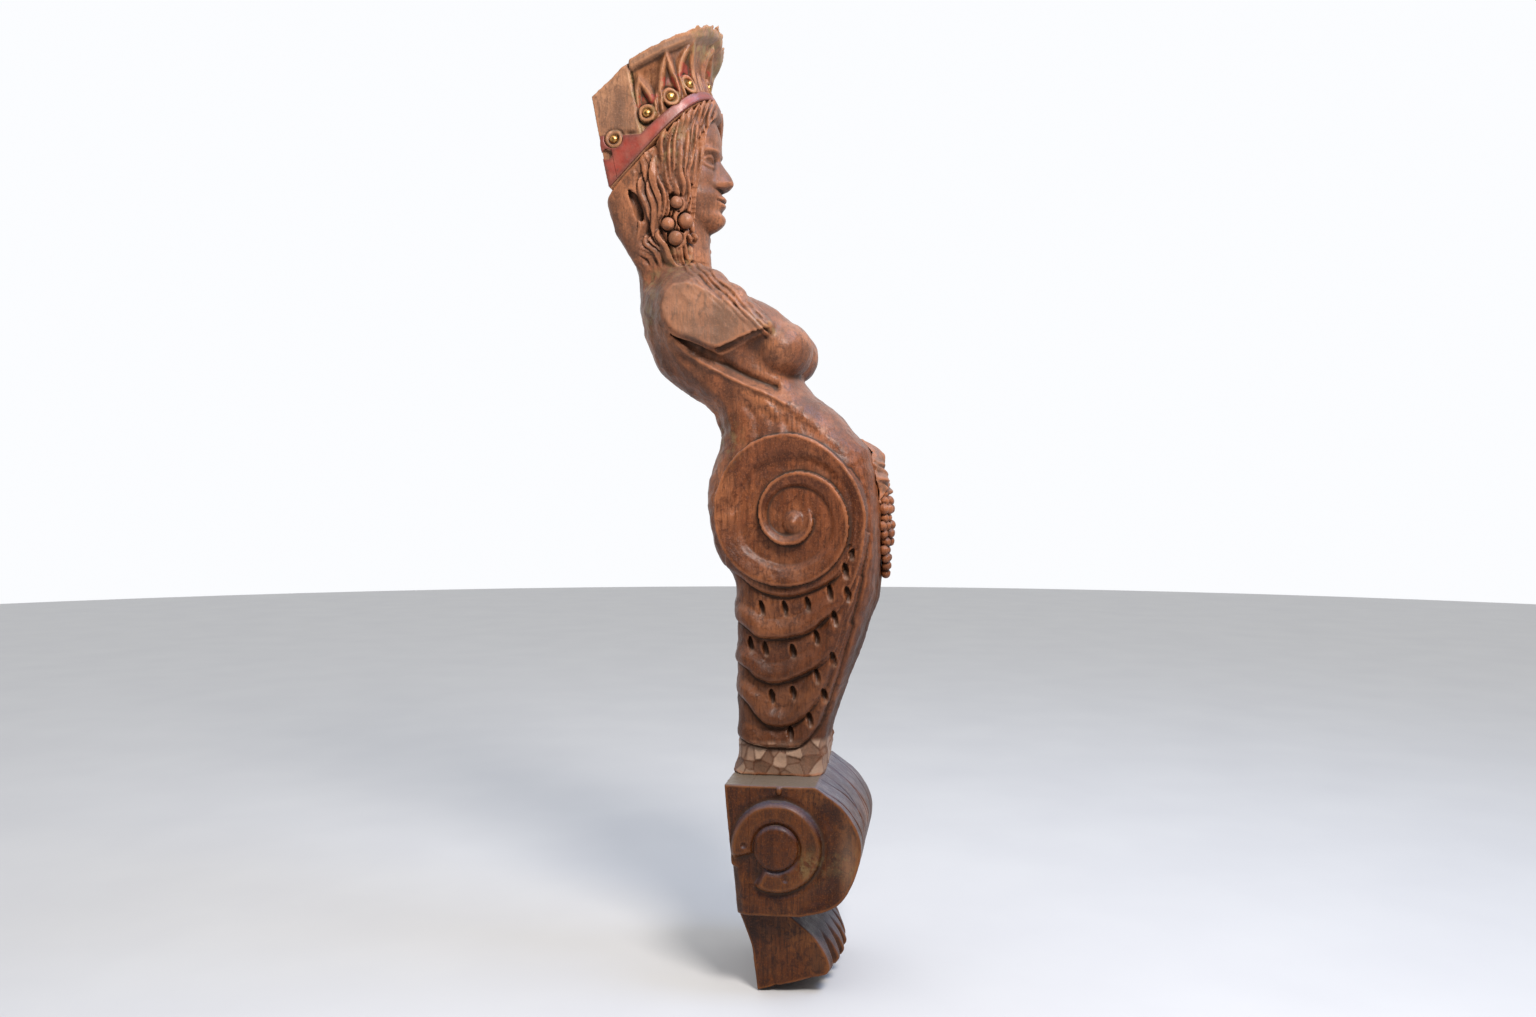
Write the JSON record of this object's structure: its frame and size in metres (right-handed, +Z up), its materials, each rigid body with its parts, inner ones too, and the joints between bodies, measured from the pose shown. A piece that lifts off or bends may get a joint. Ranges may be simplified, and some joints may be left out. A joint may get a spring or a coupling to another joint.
{
  "type": "carved wooden caryatid bracket",
  "caption": "Carved wooden wall bracket: a crowned armless half figure with a scaled tail, standing on a scroll console with a leaf scroll below.",
  "frame": {"origin": "middle of the console's flat back face", "axes": "+Z up along the figure, -Y the way the figure faces, -X its right side; symmetrical about X"},
  "size_m": [0.272, 0.4464, 1.4495],
  "materials": {
    "carved_wood": "stained and waxed hardwood, hand carved, worn",
    "console_wood": "darker stained hardwood, planed and varnished",
    "dowel_wood": "plain unstained hardwood",
    "red_paint": "old red paint on wood, rubbed and dusty",
    "brass": "aged brass, brighter on the domes"
  },
  "bodies": {
    "root": {"belly_grapes": "carved_wood", "belly_leaf": "carved_wood", "console_back_board": "console_wood", "console_button_left": "console_wood", "console_button_right": "console_wood", "console_scroll_block": "console_wood", "crown_back_plank": "carved_wood", "crown_band": "red_paint", "crown_band_end_left": "red_paint", "crown_band_end_right": "red_paint", "crown_dowel_left": "dowel_wood", "crown_dowel_right": "dowel_wood", "crown_front_carving": "carved_wood", "figure_core_board": "carved_wood", "figure_side_board_left": "carved_wood", "figure_side_board_right": "carved_wood", "foot_dowel_left": "dowel_wood", "foot_dowel_right": "dowel_wood", "leaf_dowel_left": "dowel_wood", "leaf_dowel_right": "dowel_wood", "leaf_scroll": "console_wood", "stud_back_left": "brass", "stud_back_right": "brass", "stud_brow_left": "brass", "stud_brow_right": "brass", "stud_cheek_left": "brass", "stud_cheek_right": "brass", "stud_front": "brass", "stud_side_left": "brass", "stud_side_right": "brass"}
  },
  "joints": []
}
